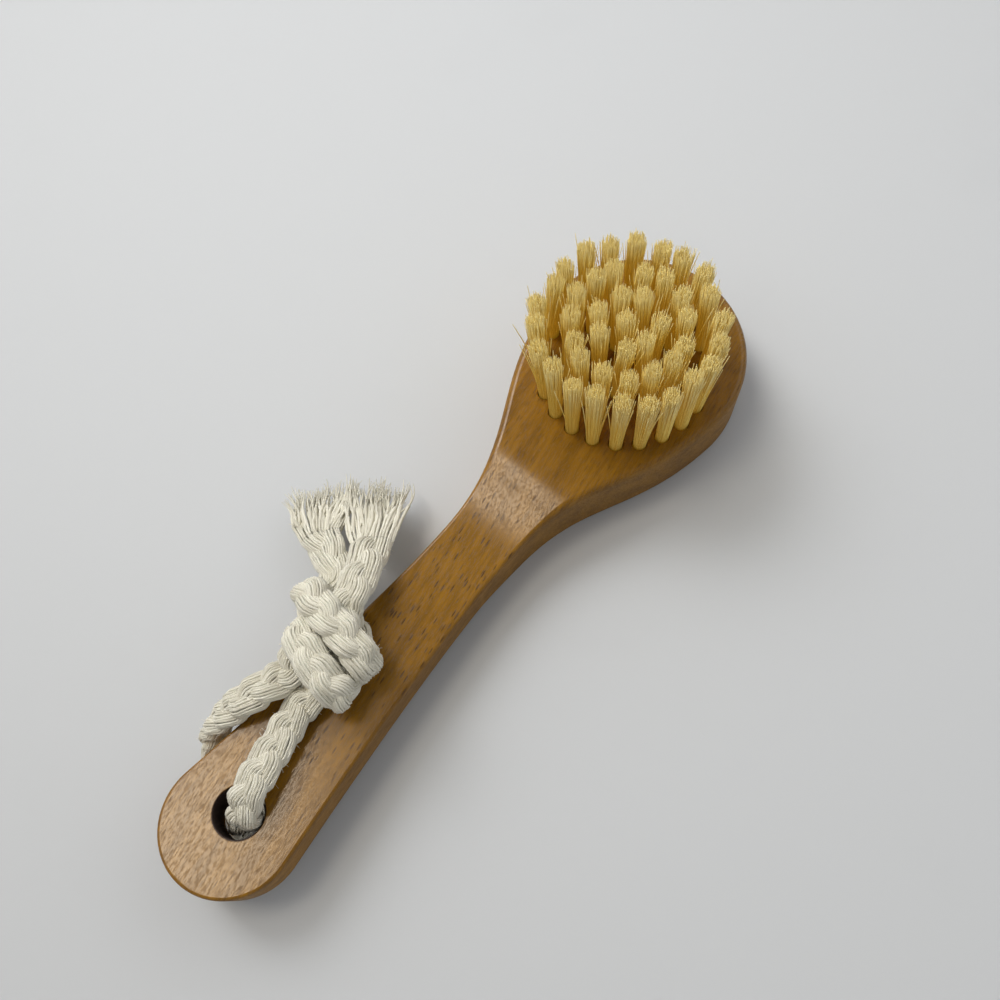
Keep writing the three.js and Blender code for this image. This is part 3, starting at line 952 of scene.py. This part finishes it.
class FrayedEnd:
    """The loose yarns beyond one end of the plait, each of which parts into fine plies.

    Neighbouring yarns keep together in clumps, and the yarns end at uneven lengths.
    """

    # The rings of a yarn, the ring where its tube ends in plies and the share of its length from which
    # they part, the number of clumps, and the share of an even spacing that is left within a clump
    rings = 17
    parting_ring = 10
    loose_from = 0.55
    clumps = 8
    clumping = 0.55

    # How far clumps, yarns and plies lie from an even spread
    clump_stray = 0.5 * MM
    yarn_stray = 0.35 * MM
    yarn_lift = 0.6 * MM
    ply_stray = 0.5 * MM
    wave_size = 0.4 * MM
    waves = 1.3

    # Lengths of clumps and yarns beyond the tip, as shares of the way from the plait to the tip
    clump_lengths = (-0.12, 0.06)
    longest = 0.1
    ragged = 0.2
    corner_cut = 0.06

    # How far the yarns on the side of the other end move towards it, and how low yarns may lie
    fill_width = 1.6 * MM
    lowest_tip = 0.6 * MM
    lowest_ply = 0.2 * MM

    def __init__(self, cord, path, yarns, name):
        self.random = Random(SEEDS[name])
        last_ring, ring_before = FRAY_RINGS[name]
        start = path.points[last_ring]
        self.tip = np.array(FRAY_TIPS[name]) * MM
        self.way = unit(self.tip - start)
        self.side = unit(np.cross(np.array(UP), self.way))
        self.lift = np.cross(self.way, self.side)
        self.reach = np.linalg.norm(self.tip - start)
        self.width = cord.fray_width * FRAY_SHARES[name]
        self.nook = FRAY_NOOKS[name]
        self.t = np.linspace(0, 1, self.rings)[:, None]
        self.shifts = [self.clump_shift() for clump in range(self.clumps)]
        starts = yarns[:, last_ring]
        headings = unit(starts - yarns[:, ring_before])
        places = np.argsort(np.argsort((starts - start) @ self.side)) / (len(starts) - 1) * 2 - 1
        lines = []
        plies = []
        for first, heading, across in zip(starts, headings, places):
            line = self.yarn_line(first, heading, across)
            lines.append(line[:self.parting_ring + 1])
            plies += self.ply_lines(line)
        self.lines = np.array(lines)
        self.plies = np.array(plies)

    def clump_shift(self):
        """How far a clump lies to the side, and how far it reaches beyond the tip."""
        aside = self.random.gauss(0, self.clump_stray)
        return aside, self.random.uniform(*self.clump_lengths) * self.reach

    def yarn_tip(self, across):
        """Where the yarn at a place across the plait ends. Places run from -1 to 1."""
        clump = min(int((across + 1) / 2 * self.clumps), self.clumps - 1)
        clump_aside, clump_beyond = self.shifts[clump]
        middle = (2 * clump + 1) / self.clumps - 1
        gathered = middle + (across - middle) * self.clumping
        aside = gathered * self.width / 2 + clump_aside + self.random.gauss(0, self.yarn_stray)
        share = self.longest - abs(self.random.gauss(0, self.ragged)) - self.corner_cut * across ** 2
        beyond = clump_beyond + share * self.reach
        raised = self.random.gauss(0, self.yarn_lift)
        last = self.tip + self.side * aside + self.lift * raised + self.way * beyond
        last[2] = max(last[2], self.lowest_tip)
        return last

    def yarn_line(self, first, heading, across):
        """The middle line of a yarn. It leaves the plait along its heading there, and waves a little."""
        fill = self.side * self.nook * max(0, across * self.nook) ** 2 * self.fill_width
        last = self.yarn_tip(across) + fill
        bend = self.random.gauss(0, 0.07)
        b = first + (last - first) * 0.15 + heading * 0.18 * self.reach + fill
        c = last - (last - first) * 0.35 + self.side * bend * self.reach
        turns = self.waves * self.t + self.random.random()
        wave = np.sin(2 * math.pi * turns) * self.wave_size * self.t
        return cubic(self.t, first, b, c, last) + self.side * wave

    def ply_lines(self, line):
        """The middle lines of a yarn's plies, from just before they part to their tips."""
        loose = np.clip((self.t - self.loose_from) / (1 - self.loose_from), 0, 1) ** 1.5
        plies = []
        for ply in range(PLIES):
            stray = np.array([self.random.gauss(0, self.ply_stray) for axis in range(3)])
            fine = line + loose * stray
            fine[:, 2] = np.maximum(fine[:, 2], self.lowest_ply)
            plies.append(fine[self.parting_ring - 1:])
        return plies


# Tufts


def tuft_bristles(tufts, random, mouth, way):
    """The middle lines of one tuft's bristles: together in the hole, and parting towards the tips.

    Each tuft sways and is cut a little differently, and a few of its bristles stray from the rest.
    """
    side = unit(np.cross(np.array(ACROSS), way))
    other = np.cross(way, side)
    sway = (random.gauss(0, 0.4 * MM), random.gauss(0, 0.4 * MM))
    root_gap = 0.4 * MM
    heights = np.array([root_gap - tufts.hole_depth, *(tufts.height * np.array(BRISTLE_RINGS))])
    along = np.clip(heights / tufts.height, 0, 1)
    part = along ** 1.3
    golden = math.pi * (3 - math.sqrt(5))
    slant = (random.gauss(0, 0.06), random.gauss(0, 0.06))
    spin = random.uniform(0, 2 * math.pi)
    trim = random.gauss(0, 0.25 * MM)
    flare = tufts.tip_radius - tufts.root_radius
    stray_share = 0.08
    near_stray = 0.2 * MM
    far_stray = 1 * MM
    unevenness = 0.42 * MM
    rounding = 0.1 * MM
    lines = []
    for k in range(tufts.bristles):
        from_axis = math.sqrt((k + 0.5) / tufts.bristles)
        turn = k * golden + spin
        u = from_axis * math.cos(turn)
        v = from_axis * math.sin(turn)
        stray = far_stray if random.random() < stray_share else near_stray
        shift_u = u * flare + random.gauss(sway[0], stray)
        shift_v = v * flare + random.gauss(sway[1], stray)
        uneven = random.gauss(0, unevenness) + trim
        uneven += (slant[0] * u + slant[1] * v) * tufts.tip_radius - rounding * from_axis ** 2
        rise = heights + uneven * along
        at_side = u * tufts.root_radius + shift_u * part
        at_other = v * tufts.root_radius + shift_v * part
        lines.append(mouth + np.outer(at_side, side) + np.outer(at_other, other) + np.outer(rise, way))
    return np.array(lines), along


# Operators


class FACIALBRUSH_OT_stage(bpy.types.Operator):
    """Add the table top, the camera and the lights"""

    bl_idname = "facial_brush.add_stage"
    bl_label = "Stage"

    def execute(self, context):
        settings = context.scene.facial_brush
        stage = settings.stage
        context.scene.view_settings.view_transform = "Standard"
        self.add_camera(context, stage)
        self.add_floor(stage, settings.colours)
        self.add_room(context, stage)
        lamp = self.add_panel(context, "lamp", stage.lamp, (0, 0, 0), stage.lamp_width, stage.lamp_power)
        lamp.color = stage.lamp_colour
        window = self.add_panel(
            context, "window", stage.window, stage.window_aim, stage.window_width, stage.window_power)
        window.spread = stage.window_spread
        return {"FINISHED"}

    def add_camera(self, context, stage):
        level = math.cos(stage.tilt)
        forward = Vector((
            math.cos(stage.heading) * level, math.sin(stage.heading) * level, -math.sin(stage.tilt)))
        right = Vector((math.sin(stage.heading), -math.cos(stage.heading), 0))
        down = forward.cross(right)
        turned_right = right * math.cos(stage.roll) + down * math.sin(stage.roll)
        turned_down = down * math.cos(stage.roll) - right * math.sin(stage.roll)
        lens = bpy.data.cameras.new("camera")
        lens.sensor_width = 36
        lens.lens = stage.focal_share * lens.sensor_width
        lens.clip_start = 10 * MM
        camera = bpy.data.objects.new("camera", lens)
        rotation = Matrix((turned_right, -turned_down, -forward)).transposed()
        camera.matrix_world = Matrix.Translation(stage.camera) @ rotation.to_4x4()
        context.scene.collection.objects.link(camera)
        context.scene.camera = camera

    def add_floor(self, stage, colours):
        half = stage.floor_size / 2
        corners = [(-half, -half, 0), (half, -half, 0), (half, half, 0), (-half, half, 0)]
        floor = add_object("floor", corners, [(0, 1, 2, 3)])
        floor.data.materials.append(floor_finish(colours))

    def add_room(self, context, stage):
        """Soft light all round, brightest halfway up the far side of the room."""
        room = Finish(bpy.data.worlds.new("soft_room"))
        way = room.node("ShaderNodeTexCoord", output="Generated")
        height = room.node("ShaderNodeSeparateXYZ", sockets={0: way}, output="Z")
        ahead = (math.cos(stage.heading), math.sin(stage.heading), 0)
        far = room.node(
            "ShaderNodeVectorMath", {"operation": "DOT_PRODUCT"}, {0: way, 1: ahead}, output="Value")
        near, low, middle, overhead = [
            room.node("ShaderNodeBackground", sockets={"Color": (1, 1, 1, 1), "Strength": level})
            for level in (stage.near_light, stage.low_light, stage.room_light, stage.overhead_light)]
        walls = self.blend(room, room.fade(height, 0.2, 0.55), low, middle)
        sides = self.blend(room, room.fade(far, -0.6, 0.3), near, walls)
        whole = self.blend(room, room.fade(height, 0.65, 0.92), sides, overhead)
        room.node("ShaderNodeOutputWorld", sockets={"Surface": whole})
        context.scene.world = room.owner

    def blend(self, room, factor, first, second):
        return room.node("ShaderNodeMixShader", sockets={0: factor, 1: first, 2: second})

    def add_panel(self, context, name, spot, aim, width, power):
        """A square area light at a spot, turned towards the point that it is aimed at."""
        light = bpy.data.lights.new(name, "AREA")
        light.shape = "SQUARE"
        light.size = width
        light.energy = power
        panel = bpy.data.objects.new(name, light)
        way = Vector(aim) - Vector(spot)
        panel.rotation_euler = way.to_track_quat("-Z", "Y").to_euler()
        panel.location = spot
        context.scene.collection.objects.link(panel)
        return light


class FACIALBRUSH_OT_cord(bpy.types.Operator):
    """Add the plaited cord and its two frayed ends"""

    bl_idname = "facial_brush.add_cord"
    bl_label = "Plaited cord"

    def execute(self, context):
        settings = context.scene.facial_brush
        cord = settings.cord
        finish = cotton_finish(settings.colours)
        path = CordPath(cord.step)
        yarns, strands = plait_yarns(cord, path)
        random = Random(SEEDS["tones"])
        tones = [random.random() for yarn in yarns]
        tubes = Tubes()
        tubes.add(yarns, cord.yarn_radius, path.face, YARN_SIDES, tones)
        core_radius = cord.strand_thickness / 2 - 1.2 * cord.yarn_radius
        core_tones = np.full(len(strands), 0.5)
        tubes.add(strands, core_radius, path.face, STRAND_CORE_SIDES, core_tones)
        fibres = loose_fibres(cord, path, yarns)
        tubes.add(fibres, cord.fibre_radius, np.array(UP, float), FIBRE_SIDES, np.zeros(len(fibres)))
        plait = tubes.build("plaited_cord", finish)
        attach(plait, "root")
        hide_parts(*LOOP_NODES)
        ends = [self.add_fray(cord, path, yarns, tones, name, finish) for name in TAIL_NODES]
        return {"FINISHED"}

    def add_fray(self, cord, path, yarns, tones, name, finish):
        frayed = FrayedEnd(cord, path, yarns, name)
        yarn_swell = (1, 1.4)
        ply_taper = (0.85, 0.2)
        tubes = Tubes()
        thick = cord.yarn_radius * np.linspace(*yarn_swell, frayed.lines.shape[1])
        tubes.add(frayed.lines, thick, frayed.lift, FRAYED_YARN_SIDES, tones)
        fine = cord.yarn_radius * np.linspace(*ply_taper, frayed.plies.shape[1])
        tubes.add(frayed.plies, fine, frayed.lift, PLY_SIDES, np.repeat(tones, PLIES))
        end = tubes.build(f"frayed_end_{name}", finish)
        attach(end, "root")
        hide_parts(TAIL_NODES[name])
        return end


class FACIALBRUSH_OT_wooden_body(bpy.types.Operator):
    """Add the beech handle and head, with the hanging hole and the tuft holes"""

    bl_idname = "facial_brush.add_wooden_body"
    bl_label = "Wooden body"

    def execute(self, context):
        settings = context.scene.facial_brush
        wood = settings.wood
        body = add_object("beech_body", *wood_blank(wood))
        drills = [hanging_drill(wood)]
        for node, mouth, way in tuft_places(settings):
            drills.append(tuft_drill(settings.tufts, mouth, way))
        cut(body, add_object("drills", *joined(drills)))
        even_shading(body)
        body.data.materials.clear()
        body.data.materials.append(beech_finish(settings.colours, wood))
        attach(body, "root")
        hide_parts(BODY_NODE)
        return {"FINISHED"}


class FACIALBRUSH_OT_tufts(bpy.types.Operator):
    """Add the bristle tufts"""

    bl_idname = "facial_brush.add_tufts"
    bl_label = "Bristle tufts"

    def execute(self, context):
        settings = context.scene.facial_brush
        tufts = settings.tufts
        finish = bristle_finish(settings.colours)
        random = Random(SEEDS["tufts"])
        radii = tufts.bristle_radius * np.array(BRISTLE_TAPER)
        for node, mouth, way in tuft_places(settings):
            lines, along = tuft_bristles(tufts, random, mouth, way)
            tones = [random.random() for line in lines]
            tubes = Tubes()
            tubes.add(lines, radii, np.array(ACROSS, float), BRISTLE_SIDES, tones, along)
            tuft = tubes.build(f"bristles_{node}", finish)
            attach(tuft, "root")
            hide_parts(node)
        return {"FINISHED"}


OPERATORS = (
    FACIALBRUSH_OT_stage, FACIALBRUSH_OT_cord, FACIALBRUSH_OT_wooden_body, FACIALBRUSH_OT_tufts)


class FACIALBRUSH_PT_sidebar(bpy.types.Panel):
    """Lists the brush's operators and settings"""

    bl_idname = "FACIALBRUSH_PT_sidebar"
    bl_label = "Facial Brush"
    bl_space_type = "VIEW_3D"
    bl_region_type = "UI"
    bl_category = "Facial Brush"

    def draw(self, context):
        settings = context.scene.facial_brush
        for operator in OPERATORS:
            self.layout.operator(operator.bl_idname)
        for group in (settings.wood, settings.tufts, settings.cord, settings.colours, settings.stage):
            box = self.layout.box()
            for name in group.__annotations__:
                box.prop(group, name)


CLASSES = (
    WoodSizes, TuftSizes, CordSizes, BrushColours, StageSettings, FacialBrushSettings,
    *OPERATORS, FACIALBRUSH_PT_sidebar)


def register():
    for cls in CLASSES:
        bpy.utils.register_class(cls)
    bpy.types.Scene.facial_brush = PointerProperty(type=FacialBrushSettings)


def unregister():
    del bpy.types.Scene.facial_brush
    for cls in reversed(CLASSES):
        bpy.utils.unregister_class(cls)


def main():
    register()
    bpy.ops.facial_brush.add_stage()
    bpy.ops.facial_brush.add_cord()
    bpy.ops.facial_brush.add_wooden_body()
    bpy.ops.facial_brush.add_tufts()


if __name__ == "__main__":
    main()
